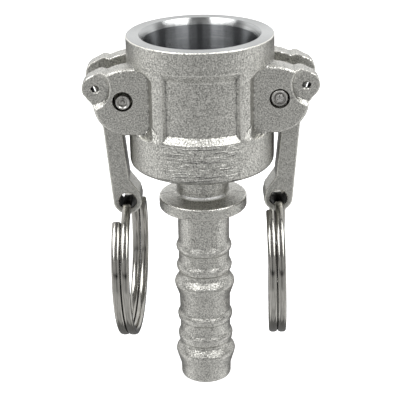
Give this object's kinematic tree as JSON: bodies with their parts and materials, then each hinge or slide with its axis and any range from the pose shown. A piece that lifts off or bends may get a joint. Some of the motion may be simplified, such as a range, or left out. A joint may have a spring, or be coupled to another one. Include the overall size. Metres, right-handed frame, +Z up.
{
  "type": "camlock coupling",
  "caption": "Cam-and-groove coupler: a cast socket with hinged cam arms and split pull rings over a barbed hose shank.",
  "frame": {"origin": "centre of the hose shank's end face, on the bore axis", "axes": "+Z up along the bore, out of the socket; the cam arms hang at +X and -X; -Y is the front, with the panel"},
  "size_m": [0.05, 0.0334, 0.0826],
  "materials": {
    "cast_body": "bead-blasted investment casting, machined bore",
    "cam_arm": "bead-blasted casting",
    "cam_pin": "turned, ends staked",
    "pull_ring": "bright drawn spring wire",
    "gasket": "matt black moulded rubber"
  },
  "bodies": {
    "coupler": {"coupler_body": "cast_body", "gasket": "gasket", "left_cam_pin": "cam_pin", "right_cam_pin": "cam_pin"},
    "left_arm": {"left_cam_arm": "cam_arm"},
    "right_arm": {"right_cam_arm": "cam_arm"},
    "left_ring": {"left_pull_ring": "pull_ring"},
    "right_ring": {"right_pull_ring": "pull_ring"}
  },
  "joints": [
    {"name": "left_arm_hinge", "type": "hinge", "parent": "coupler", "child": "left_arm", "pos_m": [-0.0165, 0, 0.0703], "axis": [0, 1, 0], "range_deg": [0, 115]},
    {"name": "right_arm_hinge", "type": "hinge", "parent": "coupler", "child": "right_arm", "pos_m": [0.0165, 0, 0.0703], "axis": [0, -1, 0], "range_deg": [0, 115]},
    {"name": "left_ring_swing", "type": "hinge", "parent": "left_arm", "child": "left_ring", "pos_m": [-0.0167, 0, 0.0455], "axis": [0, 1, 0], "range_deg": [-12, 100]},
    {"name": "right_ring_swing", "type": "hinge", "parent": "right_arm", "child": "right_ring", "pos_m": [0.0167, 0, 0.0455], "axis": [0, -1, 0], "range_deg": [-12, 100]}
  ]
}
